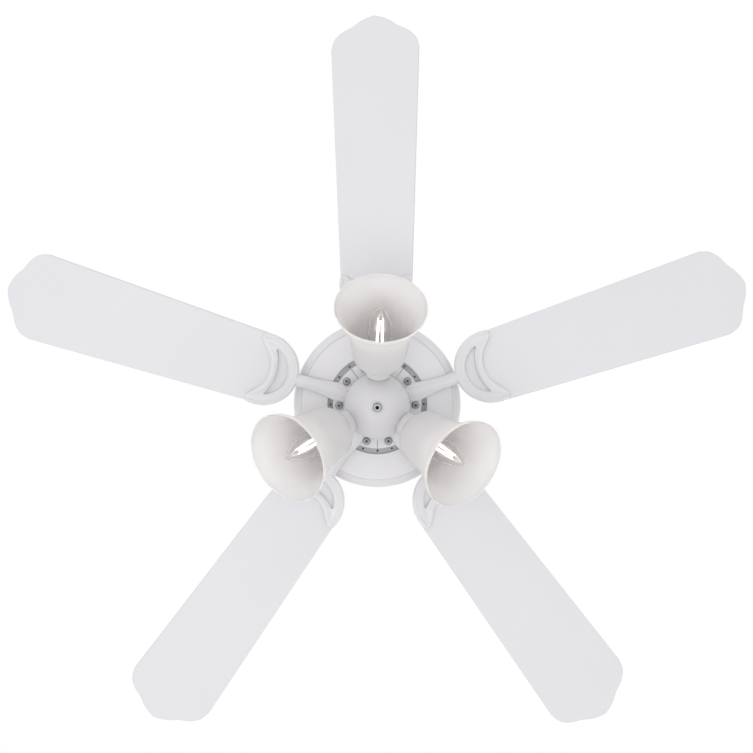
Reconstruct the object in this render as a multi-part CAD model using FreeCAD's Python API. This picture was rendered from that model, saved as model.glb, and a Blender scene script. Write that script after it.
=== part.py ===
import FreeCAD, Part
import math
import os

from FreeCAD import Placement, Rotation, Vector

# A five-blade ceiling fan with a three-lamp light kit, hung from a ball-type ceiling bracket.
# Millimetres. The origin is the centre of the bracket's face against the ceiling, +Z is up,
# so the whole fan lies below zero.

# ---- overall arrangement ----
fan_radius = 533.4            # axis to blade tip: a 42 inch fan
blade_count = 5
first_blade_azimuth = 90.0
lamp_count = 3
first_lamp_azimuth = 92.4
running_gap = 0.4             # between bodies that move past each other
fit_gap = 0.3                 # between pieces that are assembled by hand

# ---- ceiling bracket ----
bracket_length = 124.0
bracket_width = 44.0
bracket_sheet = 2.5
slot_spacing = 88.9           # outlet box screws, 3 1/2 inch apart
slot_half_width = 2.6
slot_length = 16.0
ear_width = 16.0
ear_height = 18.0
leg_spacing = 62.0            # clear space between the two legs
leg_width = 34.0
seat_width = 56.0
seat_sheet = 3.0
tab_width = 3.0
tab_reach = 19.0
tab_height = 6.0

# ---- canopy, its screws and the radio receiver ----
canopy_radius = 65.0
canopy_height = 75.0
canopy_straight = 37.0
canopy_sheet = 1.2
canopy_hole_radius = 22.5
ceiling_gap = 1.0
canopy_screw_radius = 2.0
canopy_screw_drop = 12.0
receiver_size = (50.0, 84.0, 20.0)

# ---- hanger ball and downrod ----
ball_radius = 23.0
ball_drop = 48.0              # ceiling to the centre of the ball
ball_top = 16.0
ball_bottom = 18.0
ball_groove_depth = 15.5      # flat of the groove, from the axis
rod_radius = 13.35
rod_wall = 2.3
rod_length = 130.0
rod_above_ball = 20.0
ball_pin_radius = 3.0
ball_pin_length = 36.0
ball_pin_rise = 8.0

# ---- coupling at the foot of the downrod ----
coupling_radius = 19.0
coupling_socket = 20.0
coupling_floor = 22.0
coupling_flange_radius = 36.0
coupling_flange_sheet = 4.0
coupling_pin_radius = 3.2
coupling_pin_length = 46.0
coupling_pin_rise = 10.0
cotter_radius = 0.9
cover_radius = 52.0
cover_height = 59.0
cover_top_radius = 21.0
cover_sheet = 1.2
cover_rim = 3.0
housing_screw_circle = 28.0
housing_screw_radius = 2.5

# ---- motor housing ----
housing_radius = 116.0
housing_height = 118.0
housing_sheet = 1.2
housing_top_flat = 60.0
housing_shoulder = 36.0
housing_curl = 11.0           # radius of the rolled lower edge
pan_depth = 3.0               # how far the bottom pan stands below the rolled edge
pan_margin = 7.5              # from the ring of iron bases to the edge of the opening
pan_sheet = 1.2
pan_lip = 2.5                 # turned-up edge round the opening

# ---- motor ----
shaft_radius = 8.5
shaft_bore = 4.5
bearing_radius = 20.0
bearing_width = 12.0
bearing_clearance = 0.03
rotor_radius = 84.0
rotor_ring_wall = 8.0
rotor_ring_height = 52.0
rotor_top_sheet = 4.0
rotor_bottom_sheet = 6.0
rotor_recess = 4.0            # rotor face above the housing's bottom
rotor_boss_wall = 4.0
rotor_lift = 14.0             # height of each bearing boss
air_gap = 0.5
stator_height = 16.0
stator_slots = 12
winding_height = 7.0
rotor_bolt_radius = 2.5
balance_hole_margin = 3.5     # from the ring of iron bases to the balance holes
balance_hole_radius = 1.5
balance_holes = 20

# ---- blade irons and blades ----
iron_base_inner = 40.0
iron_base_outer = 61.0
iron_base_sheet = 6.5
iron_joint_gap = 0.2          # degrees between neighbouring bases
iron_screw_circle = 53.0
iron_screw_spread = 19.5      # degrees each side of the blade
iron_screw_radius = 2.5
iron_screw_head = 5.5
iron_head_height = 3.5
blade_drop = 2.0              # blade plane below the housing's bottom
blade_pitch = 12.0
blade_thickness = 5.5
blade_width = 123.0
blade_root_inset = 1.0        # blade's round root inside the moon's outer edge
blade_edge_radius = 1.2
crescent_radius = 51.0
crescent_reach = 49.5         # housing side to the centre of the moon
crescent_sheet = 4.0
crescent_bead = 2.8
crescent_waist = 41.0         # moon width on the arm's line
crescent_outer_band = 15.5
crescent_slot_width = 15.0
crescent_slot_half = 34.0
crescent_horn_lead = 12.0     # horn ends past the moon's centre
crescent_horn_inner = 40.0    # middle of the moon to the inner corner of a horn
blade_screw_radius = 2.2
blade_screw_cover = 1.4       # metal left below each blind hole for a blade screw
blade_screw_head = 4.5
washer_radius = 6.5
washer_sheet = 1.0

# ---- switch housing ----
switch_housing_radius = 42.0
switch_housing_drop = 10.5    # top of the switch housing below the motor housing
switch_housing_height = 38.5
switch_housing_sheet = 1.2
switch_plate_sheet = 2.5
switch_plate_inset = 1.0
shaft_tail = 4.5
capacitor_size = (34.0, 13.0, 18.0)
capacitor_offset = 23.5
switch_azimuth = 32.4
switch_drop = 18.0
switch_travel = 4.0
switch_knob_width = 3.0
switch_knob_height = 4.0
switch_knob_reach = 3.0
switch_body_size = (9.0, 10.0, 22.0)

# ---- light kit ----
hub_overlap = 4.0             # hub rim up round the switch housing
hub_straight = 5.0
hub_height = 42.0
hub_sheet = 2.0
hub_tip_radius = 8.0
hub_lobe_radius = 16.0
hub_lobe_length = 13.0
hub_lobe_floor = 3.0
hub_screw_radius = 1.6
finial_radius = 6.2
finial_height = 8.0
finial_hole_radius = 2.4
finial_hole_depth = 12.0
finial_stem_radius = 3.6
lamp_tilt = 42.0              # lamp axis from straight down
lamp_reach = 16.0             # hub side to the middle of the shade's neck
lamp_drop = 34.0              # hub rim to the middle of the shade's neck
cup_length = 25.0
cup_radius = 20.5
cup_middle_radius = 18.0
cup_shoulder = -16.0          # start of the middle step, behind the shade's neck
cup_rim = -9.0                # start of the widest step
cup_sheet = 1.5
holder_radius = 14.0
holder_front = 24.0
holder_floor = 5.0
bulb_base_radius = 7.0
bulb_base_end = 27.0
bulb_radius = 16.3
bulb_tip = 105.0
bulb_wall = 0.8
filament_radius = 1.0
filament_circle = 5.0
filament_start = 40.0
filament_length = 42.0
filament_count = 4
shade_length = 105.0
shade_mouth_radius = 60.0
shade_waist_radius = 36.0
shade_neck_radius = 17.0
shade_wall = 2.4
ring_width = 5.0
ring_notches = 12

# ---- levels and circles worked out from the sizes above ----
rotor_bolt_circle = rotor_radius - rotor_ring_wall / 2
ball_z = -ball_drop
seat_z = ball_z - math.sqrt(ball_radius**2 - 20.0**2)
canopy_bottom_z = -ceiling_gap - canopy_height
rod_top_z = ball_z + rod_above_ball
rod_bottom_z = rod_top_z - rod_length
coupling_top_z = rod_bottom_z + coupling_socket
housing_top_z = rod_bottom_z - coupling_floor
housing_bottom_z = housing_top_z - housing_height
rotor_face_z = housing_bottom_z + rotor_recess
ring_bottom_z = rotor_face_z + rotor_bottom_sheet
ring_top_z = ring_bottom_z + rotor_ring_height
stator_z = (ring_bottom_z + ring_top_z) / 2
iron_bottom_z = rotor_face_z - iron_base_sheet
blade_z = housing_bottom_z - blade_drop
switch_top_z = housing_bottom_z - switch_housing_drop
switch_bottom_z = switch_top_z - switch_housing_height
hub_top_z = switch_bottom_z + hub_overlap
hub_bottom_z = hub_top_z - hub_height
shaft_bottom_z = switch_top_z - switch_plate_inset - switch_plate_sheet - shaft_tail
neck_z = hub_top_z - lamp_drop
hub_radius = switch_housing_radius + hub_sheet
neck_reach = hub_radius + lamp_reach
pan_opening = iron_base_outer + pan_margin
balance_hole_circle = iron_base_outer + balance_hole_margin
crescent_centre = housing_radius + crescent_reach
blade_root_half = crescent_radius - blade_root_inset

PARTS = "parts"


def save(name, shape):
    """Writes one sub-part. A list of solids becomes one group of separate solids."""
    if isinstance(shape, list):
        shape = Part.makeCompound(shape)
    shape.exportStep(os.path.join(PARTS, name + ".step"))


def post(radius, low, high, x=0.0, y=0.0):
    return Part.makeCylinder(radius, high - low, Vector(x, y, low))


def cross_pin(radius, start, end, z, along=Vector(1, 0, 0)):
    """A cylinder square to the fan's axis, from start to end along a horizontal direction."""
    return Part.makeCylinder(radius, end - start, along * start + Vector(0, 0, z), along)


def block(x_low, x_high, y_low, y_high, z_low, z_high):
    size = (x_high - x_low, y_high - y_low, z_high - z_low)
    return Part.makeBox(*size, Vector(x_low, y_low, z_low))


def outline(start, *steps):
    """Edges in the XZ plane. A step is an end point, or a point on an arc and its end point."""
    edges = []
    here = start
    for step in steps:
        if isinstance(step[0], tuple):
            through, end = step
            corners = [Vector(x, 0, z) for x, z in (here, through, end)]
            edges.append(Part.Arc(*corners).toShape())
        else:
            end = step
            corners = [Vector(x, 0, z) for x, z in (here, end)]
            edges.append(Part.LineSegment(*corners).toShape())
        here = end
    return Part.Wire(edges)


def turned(wire):
    """The solid of revolution that a closed outline sweeps about the axis."""
    return Part.Face(wire).revolve(Vector(0, 0, 0), Vector(0, 0, 1), 360)


def turned_skin(wire, thickness):
    """A spun shell: the outline is one face and the thickness goes to its left or right."""
    band = wire.makeOffset2D(thickness, 0, True, True)
    return band.revolve(Vector(0, 0, 0), Vector(0, 0, 1), 360)


def turned_polygon(points):
    return turned(outline(*points, points[0]))


def smooth_curve(points, start_way, end_way):
    curve = Part.BSplineCurve()
    corners = [Vector(*point) for point in points]
    curve.interpolate(corners, InitialTangent=Vector(*start_way), FinalTangent=Vector(*end_way),
                      Scale=False)
    return curve.toShape()


def turned_wall(points, start_way, end_way, wall, neck=None):
    """A blown or cast wall: the points are on its outer face and the wall lies inside them."""
    outer = smooth_curve(points, start_way, end_way)
    curve = outer.Curve
    inside = []
    for point in points:
        way = curve.tangent(curve.parameter(Vector(*point)))[0]
        inside.append(Vector(*point) + Vector(-way.z, 0, way.x) * wall)
    inner = smooth_curve([tuple(point) for point in inside], start_way, end_way)
    start = [inside[0], Vector(*points[0])]
    if neck is not None:
        start = [inside[0], Vector(neck, 0, inside[0].z), Vector(neck, 0, points[0][2]), start[1]]
    edges = [Part.LineSegment(start[i], start[i + 1]).toShape() for i in range(len(start) - 1)]
    edges += [outer, Part.LineSegment(Vector(*points[-1]), inside[-1]).toShape(), inner]
    return turned(Part.Wire(Part.__sortEdges__(edges)))


def joined(shapes):
    whole = shapes[0].fuse(shapes[1:])
    return whole.removeSplitter()


def turn_about_axis(shape, azimuth):
    return shape.transformed(Placement(Vector(), Rotation(Vector(0, 0, 1), azimuth)).toMatrix())


def blade_azimuth(index):
    return first_blade_azimuth + index * 360.0 / blade_count


def lamp_azimuth(index):
    return first_lamp_azimuth + index * 360.0 / lamp_count


def on_blade(shape, index):
    """Takes a piece drawn along +X, flat about z = 0, to the pitched plane of one blade."""
    pitched = Rotation(Vector(1, 0, 0), -blade_pitch)
    placed = shape.transformed(Placement(Vector(0, 0, blade_z), pitched).toMatrix())
    return turn_about_axis(placed, blade_azimuth(index))


def on_lamp(shape, index):
    """Takes a piece drawn along +Z from the shade's neck to one lamp's tilted axis."""
    tilted = Rotation(Vector(0, 1, 0), 180.0 - lamp_tilt)
    placed = shape.transformed(Placement(Vector(neck_reach, 0, neck_z), tilted).toMatrix())
    return turn_about_axis(placed, lamp_azimuth(index))


# ---- what is fixed to the ceiling ----

def make_hanger_bracket():
    half = bracket_length / 2
    plate = block(-half, half, -bracket_width / 2, bracket_width / 2, -bracket_sheet, 0)
    pieces = [plate]
    seat_top_z = seat_z
    seat_bottom_z = seat_top_z - seat_sheet
    inside_canopy = post(canopy_radius - canopy_sheet - fit_gap, seat_bottom_z, 0)
    inner = leg_spacing / 2
    outer = inner + bracket_sheet
    for side in (-1, 1):
        ear_x = sorted((side * half, side * (half - bracket_sheet)))
        leg_x = sorted((side * inner, side * outer))
        pieces.append(block(*ear_x, -ear_width / 2, ear_width / 2, -ear_height, 0))
        pieces.append(block(*leg_x, -leg_width / 2, leg_width / 2, seat_bottom_z, 0))
    half_seat = seat_width / 2
    pieces.append(block(-outer, outer, -half_seat, half_seat, seat_bottom_z, seat_top_z))
    bracket = joined(pieces).common(inside_canopy)
    bracket = bracket.cut(Part.makeSphere(ball_radius + running_gap, Vector(0, 0, ball_z)))
    mouth = rod_radius + 3 * running_gap
    bracket = bracket.cut(block(-mouth, mouth, -seat_width, 0, seat_bottom_z - 1, seat_top_z + 1))
    for side in (-1, 1):
        straight = slot_length / 2 - slot_half_width
        middle = side * slot_spacing / 2
        slot = [block(middle - straight, middle + straight, -slot_half_width, slot_half_width,
                      -bracket_sheet - 1, 1)]
        for end in (-1, 1):
            slot.append(post(slot_half_width, -bracket_sheet - 1, 1, middle + end * straight))
        bracket = bracket.cut(joined(slot))
    bracket = bracket.cut(cross_pin(canopy_screw_radius, -bracket_length, bracket_length,
                                    -canopy_screw_drop))
    tab = block(-tab_width / 2, tab_width / 2, tab_reach, half_seat,
                seat_bottom_z, seat_top_z + tab_height)
    return joined([bracket, tab])


def make_canopy():
    rim_z = -ceiling_gap
    shoulder_z = rim_z - canopy_straight
    curve = canopy_height - canopy_straight
    middle = canopy_radius - curve
    bend = curve * math.sqrt(0.5)
    wire = outline((canopy_radius, rim_z), (canopy_radius, shoulder_z),
                   ((middle + bend, shoulder_z - bend), (middle, canopy_bottom_z)),
                   (canopy_hole_radius, canopy_bottom_z))
    canopy = turned_skin(wire, -canopy_sheet)
    hole = canopy_screw_radius + fit_gap
    return canopy.cut(cross_pin(hole, -2 * canopy_radius, 2 * canopy_radius, -canopy_screw_drop))


def make_canopy_screws():
    shank = cross_pin(canopy_screw_radius, bracket_length / 2 - 4, canopy_radius,
                      -canopy_screw_drop)
    head = Part.makeCone(4.2, 3.0, 2.2, Vector(canopy_radius, 0, -canopy_screw_drop),
                         Vector(1, 0, 0))
    screw = joined([shank, head])
    return [turn_about_axis(screw, angle) for angle in (0, 180)]


def make_receiver():
    x, y, z = (size / 2 for size in receiver_size)
    top = -bracket_sheet
    case = block(-x, x, -y, y, top - 2 * z, top)
    return case.makeFillet(3.0, [edge for edge in case.Edges if edge.BoundBox.ZLength > z])


# ---- what hangs from the ball ----

def make_hanger_ball():
    ball = Part.makeSphere(ball_radius, Vector(0, 0, ball_z))
    ball = ball.common(post(2 * ball_radius, ball_z - ball_bottom, ball_z + ball_top))
    ball = ball.cut(post(rod_radius, ball_z - 2 * ball_radius, ball_z + 2 * ball_radius))
    half = tab_width / 2 + 1
    groove = block(-half, half, ball_groove_depth, 2 * ball_radius,
                   ball_z - ball_radius, ball_z + ball_radius)
    pin_z = ball_z + ball_pin_rise
    return ball.cut([groove, cross_pin(ball_pin_radius, -ball_radius, ball_radius, pin_z)])


def make_ball_pin():
    half = ball_pin_length / 2
    return cross_pin(ball_pin_radius, -half, half, ball_z + ball_pin_rise)


def make_downrod():
    rod = post(rod_radius, rod_bottom_z, rod_top_z)
    rod = rod.cut(post(rod_radius - rod_wall, rod_bottom_z - 1, rod_top_z + 1))
    reach = 2 * rod_radius
    upper = cross_pin(ball_pin_radius, -reach, reach, ball_z + ball_pin_rise)
    lower = cross_pin(coupling_pin_radius, -reach, reach, rod_bottom_z + coupling_pin_rise)
    return rod.cut([upper, lower])


def flange_screw_places():
    for index in range(3):
        angle = math.radians(30 + 120 * index)
        yield housing_screw_circle * math.cos(angle), housing_screw_circle * math.sin(angle)


def make_coupling():
    flange_top = housing_top_z + coupling_flange_sheet
    body = turned_polygon([
        (0, housing_top_z), (coupling_flange_radius, housing_top_z),
        (coupling_flange_radius, flange_top - 1), (coupling_flange_radius - 1, flange_top),
        (coupling_radius + 2, flange_top), (coupling_radius, flange_top + 2),
        (coupling_radius, coupling_top_z - 1), (coupling_radius - 1, coupling_top_z),
        (0, coupling_top_z)])
    cuts = [
        post(rod_radius, rod_bottom_z, coupling_top_z + 1),
        post(shaft_radius, housing_top_z - 1, rod_bottom_z + 1),
        cross_pin(coupling_pin_radius, -2 * coupling_radius, 2 * coupling_radius,
                  rod_bottom_z + coupling_pin_rise)]
    for x, y in flange_screw_places():
        cuts.append(post(housing_screw_radius, housing_top_z - 1, flange_top + 1, x, y))
    return body.cut(cuts)


def cotter_leg():
    x = coupling_pin_length / 2 - 2.4
    z = rod_bottom_z + coupling_pin_rise
    return Part.makeCylinder(cotter_radius, 18, Vector(x, -9, z), Vector(0, 1, 0))


def make_coupling_pin():
    half = coupling_pin_length / 2
    z = rod_bottom_z + coupling_pin_rise
    head = cross_pin(coupling_pin_radius + 1.8, -half, -half + 2, z)
    shank = cross_pin(coupling_pin_radius, -half + 2, half, z)
    return joined([head, shank]).cut(cotter_leg())


def make_coupling_cotter():
    loop_radius = 3.0
    leg = cotter_leg()
    end = leg.BoundBox
    centre = Vector(end.Center.x, end.YMin - loop_radius, end.Center.z)
    loop = Part.makeTorus(loop_radius, cotter_radius, centre, Vector(0, 0, 1))
    return joined([leg, loop])


def make_coupling_cover():
    top_z = housing_top_z + cover_height
    rim_z = housing_top_z + cover_rim
    wire = outline((rod_radius + 1, top_z), (cover_top_radius, top_z),
                   ((cover_top_radius + 7, top_z - 22), (cover_radius, rim_z)),
                   (cover_radius, housing_top_z))
    return turned_skin(wire, -cover_sheet)


def make_housing_screws():
    screws = []
    for x, y in flange_screw_places():
        head_z = housing_top_z + coupling_flange_sheet
        shank = post(housing_screw_radius, housing_top_z - 6, head_z, x, y)
        head = post(2 * housing_screw_radius, head_z, head_z + 3, x, y)
        screws.append(joined([shank, head]))
    return screws


def make_motor_shaft():
    shaft = post(shaft_radius, shaft_bottom_z, rod_bottom_z)
    return shaft.cut(post(shaft_bore, shaft_bottom_z - 1, rod_bottom_z + 1))


def make_stator_core():
    low = stator_z - stator_height / 2
    high = stator_z + stator_height / 2
    radius = rotor_radius - rotor_ring_wall - air_gap
    core = post(radius, low, high).cut(post(shaft_radius, low - 1, high + 1))
    slots = []
    for index in range(stator_slots):
        angle = index * 360.0 / stator_slots
        hole = post(7.0, low - 1, high + 1, 60.0)
        mouth = block(60.0, radius + 1, -1.2, 1.2, low - 1, high + 1)
        slots += [turn_about_axis(hole, angle), turn_about_axis(mouth, angle)]
    return core.cut(slots)


def make_stator_windings():
    outer = rotor_radius - rotor_ring_wall - 6
    inner = bearing_radius + rotor_boss_wall + 12
    coils = []
    for side in (-1, 1):
        face = stator_z + side * stator_height / 2
        far = face + side * winding_height
        ring = turned_polygon([(inner, face), (outer, face), (outer, far - side * 2),
                               (outer - 2, far), (inner + 2, far), (inner, far - side * 2)])
        coils.append(ring)
    return coils


def make_housing_upper():
    edge_z = housing_bottom_z + pan_depth
    curl_z = edge_z + housing_curl
    bend = housing_curl * math.sqrt(0.5)
    shoulder_z = housing_top_z - housing_shoulder
    side = housing_radius
    lip = side - housing_curl
    wire = outline((shaft_radius, housing_top_z), (housing_top_flat, housing_top_z),
                   ((side - 16, housing_top_z - 10), (side, shoulder_z)), (side, curl_z),
                   ((lip + bend, curl_z - bend), (lip, edge_z)))
    shell = turned_skin(wire, -housing_sheet)
    holes = [post(housing_screw_radius, housing_top_z - 5, housing_top_z + 1, x, y)
             for x, y in flange_screw_places()]
    return shell.cut(holes)


def make_housing_lower():
    wall = housing_radius - housing_curl
    low = housing_bottom_z
    wire = outline((wall, low + pan_depth + 8), (wall, low + 2),
                   ((wall - 0.6, low + 0.6), (wall - 2, low)), (pan_opening + 2, low),
                   ((pan_opening + 0.6, low + 0.6), (pan_opening, low + 2)),
                   (pan_opening, low + pan_lip))
    return turned_skin(wire, -pan_sheet)


# ---- what turns with the blades ----

def bearing_levels():
    top_low = ring_top_z + rotor_top_sheet + rotor_lift - 2 - bearing_width
    bottom_low = rotor_face_z + rotor_lift + rotor_bottom_sheet - bearing_width
    return bottom_low, top_low


def make_bearings():
    bearings = []
    for low in bearing_levels():
        ring = post(bearing_radius, low, low + bearing_width)
        bearings.append(ring.cut(post(shaft_radius + bearing_clearance, low - 1,
                                      low + bearing_width + 1)))
    return bearings


def rotor_bolt_holes(low, high):
    return [turn_about_axis(post(rotor_bolt_radius, low, high, rotor_bolt_circle), angle)
            for angle in (45, 135, 225, 315)]


def make_rotor_top():
    low = bearing_levels()[1]
    high = low + bearing_width
    boss = bearing_radius + rotor_boss_wall
    plate_top = ring_top_z + rotor_top_sheet
    bell = turned_polygon([
        (shaft_radius + 1, high), (bearing_radius, high), (bearing_radius, ring_top_z),
        (rotor_radius, ring_top_z),
        (rotor_radius, plate_top), (boss, plate_top), (boss, high + 2),
        (shaft_radius + 1, high + 2)])
    return bell.cut(rotor_bolt_holes(ring_top_z - 1, plate_top + 1))


def make_rotor_ring():
    ring = post(rotor_radius, ring_bottom_z, ring_top_z)
    inner = rotor_radius - rotor_ring_wall
    ring = ring.cut(post(inner, ring_bottom_z - 1, ring_top_z + 1))
    return ring.cut(rotor_bolt_holes(ring_bottom_z - 1, ring_top_z + 1))


def iron_screw_angles():
    for index in range(blade_count):
        for side in (-1, 1):
            yield blade_azimuth(index) + side * iron_screw_spread


def make_rotor_bottom():
    low = bearing_levels()[0]
    high = low + bearing_width
    boss = bearing_radius + rotor_boss_wall
    bell = turned_polygon([
        (shaft_radius + 1, rotor_face_z), (rotor_radius, rotor_face_z),
        (rotor_radius, ring_bottom_z), (boss, ring_bottom_z), (boss, high),
        (bearing_radius, high), (bearing_radius, low), (shaft_radius + 1, low)])
    cuts = rotor_bolt_holes(rotor_face_z - 1, ring_bottom_z + 1)
    screw_hole = post(iron_screw_radius, rotor_face_z - 1, ring_bottom_z + 1, iron_screw_circle)
    cuts += [turn_about_axis(screw_hole, angle) for angle in iron_screw_angles()]
    balance = post(balance_hole_radius, rotor_face_z - 1, rotor_face_z + 4, balance_hole_circle)
    cuts += [turn_about_axis(balance, index * 360.0 / balance_holes)
             for index in range(balance_holes)]
    return bell.cut(cuts)


def make_rotor_bolts():
    bolts = []
    for angle in (45, 135, 225, 315):
        top = ring_top_z + rotor_top_sheet
        shank = post(rotor_bolt_radius, rotor_face_z, top, rotor_bolt_circle)
        head = post(2 * rotor_bolt_radius, top, top + 3, rotor_bolt_circle)
        bolts.append(turn_about_axis(joined([shank, head]), angle))
    return bolts


def arm_section(reach, width, top, depth, pitch):
    """A cross-section of the arm: flat on top, rounded below, turned by its share of the pitch."""
    half = width / 2
    side = top - depth * 0.35
    corners = [Vector(reach, y, z) for y, z in
               ((-half, side), (-half, top), (half, top), (half, side), (0, top - depth))]
    edges = [Part.LineSegment(corners[i], corners[i + 1]).toShape() for i in range(3)]
    edges.append(Part.Arc(corners[3], corners[4], corners[0]).toShape())
    section = Part.Wire(edges)
    section.rotate(Vector(), Vector(1, 0, 0), pitch)
    return section


def make_blade_iron_pattern():
    """One blade iron along +X, in the frame whose zero is the blade plane on the fan's axis."""
    base_top = rotor_face_z - blade_z
    base_low = base_top - iron_base_sheet
    spread = 360.0 / blade_count - iron_joint_gap
    base = Part.makeCylinder(iron_base_outer, iron_base_sheet, Vector(0, 0, base_low),
                             Vector(0, 0, 1), spread)
    base = turn_about_axis(base, -spread / 2)
    base = base.cut(post(iron_base_inner, base_low - 1, base_top + 1))
    inner_end = crescent_centre - crescent_radius
    plate_top = -blade_thickness / 2
    arm_top = base_low + 1
    sections = [arm_section(iron_base_inner + 3, 22.0, arm_top, 7.0, 0),
                arm_section(iron_base_outer, 25.0, arm_top, 7.5, 0),
                arm_section(iron_base_outer + 22, 19.5, arm_top - 0.8, 7.5, -blade_pitch / 3),
                arm_section(inner_end - 3, 17.5, plate_top - 0.1, 7.0, -blade_pitch),
                arm_section(inner_end + 8, 16.0, plate_top - 0.1, 5.0, -blade_pitch)]
    arm = Part.makeLoft(sections, True, False)
    moon = crescent_plate().transformed(
        Placement(Vector(), Rotation(Vector(1, 0, 0), -blade_pitch)).toMatrix())
    iron = joined([base, arm, moon])
    holes = []
    for side in (-1, 1):
        hole = post(iron_screw_radius, base_low - 10, base_top + 1, iron_screw_circle)
        holes.append(turn_about_axis(hole, side * iron_screw_spread))
        seat = post(iron_screw_head + fit_gap, base_low - 10, base_low, iron_screw_circle)
        holes.append(turn_about_axis(seat, side * iron_screw_spread))
    return iron.cut(holes)


def moon_outline(outer, inner, height):
    """A closed crescent: each side is three points of an arc, and blunt horns join them."""
    sides = [[Vector(x, y, height) for x, y in side] for side in (outer, inner)]
    edges = [Part.Arc(*side).toShape() for side in sides]
    for start, end in ((sides[0][2], sides[1][0]), (sides[1][2], sides[0][0])):
        if start.distanceToPoint(end) > 0.01:
            edges.append(Part.LineSegment(start, end).toShape())
    return Part.Face(Part.Wire(Part.__sortEdges__(edges)))


def crescent_plate():
    """The moon-shaped plate under the blade's root, with its slot and rounded outer rim."""
    top = -blade_thickness / 2
    centre = crescent_centre
    inner_end = centre - crescent_radius
    horn_x = centre + crescent_horn_lead
    horn_y = math.sqrt(crescent_radius**2 - crescent_horn_lead**2)
    horn_inner = crescent_horn_inner
    waist = inner_end + crescent_waist
    face = moon_outline(((horn_x, horn_y), (inner_end, 0), (horn_x, -horn_y)),
                        ((horn_x, -horn_inner), (waist, 0), (horn_x, horn_inner)), top)
    plate = face.extrude(Vector(0, 0, -crescent_sheet))
    slot_near = inner_end + crescent_outer_band
    slot_far = slot_near + crescent_slot_width
    slot_radius = centre - slot_near
    tip_x = centre - math.sqrt(slot_radius**2 - crescent_slot_half**2)
    tip_y = crescent_slot_half
    slot = moon_outline(((tip_x, tip_y), (slot_near, 0), (tip_x, -tip_y)),
                        ((tip_x, -tip_y), (slot_far, 0), (tip_x, tip_y)), top + 1)
    plate = plate.cut(slot.extrude(Vector(0, 0, -crescent_sheet - 2)))
    lead = math.degrees(math.asin(crescent_horn_lead / crescent_radius)) - 6
    sweep = 180 + 2 * lead
    start = Vector(crescent_radius - crescent_bead, 0, top - crescent_sheet)
    disc = Part.Face(Part.Wire(Part.makeCircle(crescent_bead, start, Vector(0, 1, 0))))
    bead = disc.revolve(Vector(), Vector(0, 0, 1), sweep)
    bead = turn_about_axis(bead, 90 - lead).translated(Vector(centre, 0, 0))
    ends = []
    for side in (-1, 1):
        angle = math.radians(90 - lead) * side
        ends.append(Part.makeSphere(crescent_bead, Vector(
            centre + start.x * math.cos(angle), start.x * math.sin(angle), start.z)))
    bead = joined([bead] + ends)
    return joined([plate, bead.cut(block(0, 2 * centre, -centre, centre, top, top + 20))])


def blade_screw_places():
    """Along the blade and across it: one screw in the inner band, one in each horn."""
    inner_band = (crescent_outer_band + crescent_slot_width + crescent_waist) / 2
    x = crescent_centre - crescent_radius + inner_band
    horn_y = (crescent_slot_half + crescent_radius) / 2 - 1
    return ((x, 0), (x + 2, horn_y), (x + 2, -horn_y))


def make_blade_pattern():
    """A flat blade along +X about z = 0: a round root, tapering sides and an ogee tip."""
    root = blade_root_half
    half = blade_width / 2
    tip_shape = ((0, 0), (6.6, 0.315), (13.8, 0.494), (19.0, 0.675), (26.3, 0.854), (45.0, 1.0))
    side = [(fan_radius - setback, share * half, 0) for setback, share in tip_shape]
    left = smooth_curve(side, (0, 1, 0), (-1, -0.06, 0))
    mirrored = [(x, -y, z) for x, y, z in reversed(side)]
    right = smooth_curve(mirrored, (1, -0.06, 0), (0, 1, 0))
    start = left.Vertexes[-1].Point
    end = right.Vertexes[0].Point
    shoulder = Vector(crescent_centre, root, 0)
    opposite = Vector(crescent_centre, -root, 0)
    root_middle = Vector(crescent_centre - root, 0, 0)
    edges = [left, Part.LineSegment(start, shoulder).toShape(),
             Part.Arc(shoulder, root_middle, opposite).toShape(),
             Part.LineSegment(opposite, end).toShape(), right]
    face = Part.Face(Part.Wire(Part.__sortEdges__(edges)))
    blade = face.extrude(Vector(0, 0, blade_thickness))
    blade.translate(Vector(0, 0, -blade_thickness / 2))
    rim = [edge for edge in blade.Edges if edge.BoundBox.ZLength < blade_edge_radius]
    blade = blade.makeFillet(blade_edge_radius, rim)
    holes = [post(blade_screw_radius, -blade_thickness, blade_thickness, x, y)
             for x, y in blade_screw_places()]
    return blade.cut(holes)


def make_blade_fasteners():
    """Three screws and three washers on top of each blade."""
    face = blade_thickness / 2
    screws = []
    washers = []
    for index in range(blade_count):
        for x, y in blade_screw_places():
            bottom = -face - crescent_sheet + blade_screw_cover
            shank = post(blade_screw_radius, bottom, face + washer_sheet, x, y)
            low = face + washer_sheet
            head = Part.makeCone(blade_screw_head, blade_screw_head - 1.5, 2.6,
                                 Vector(x, y, low))
            screws.append(on_blade(joined([shank, head]), index))
            washer = post(washer_radius, face, low, x, y)
            washer = washer.cut(post(blade_screw_radius, face - 1, low + 1, x, y))
            washers.append(on_blade(washer, index))
    return screws, washers


def place_iron(pattern, index):
    placed = pattern.translated(Vector(0, 0, blade_z))
    return turn_about_axis(placed, blade_azimuth(index))


def tap_iron(iron):
    """Cuts the blind threaded holes for the blade's screws, square to the pitched plate."""
    bottom = -blade_thickness / 2 - crescent_sheet + blade_screw_cover
    holes = []
    for x, y in blade_screw_places():
        hole = post(blade_screw_radius, bottom, 0, x, y)
        hole.rotate(Vector(), Vector(1, 0, 0), -blade_pitch)
        holes.append(hole)
    return iron.cut(holes)


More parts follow.
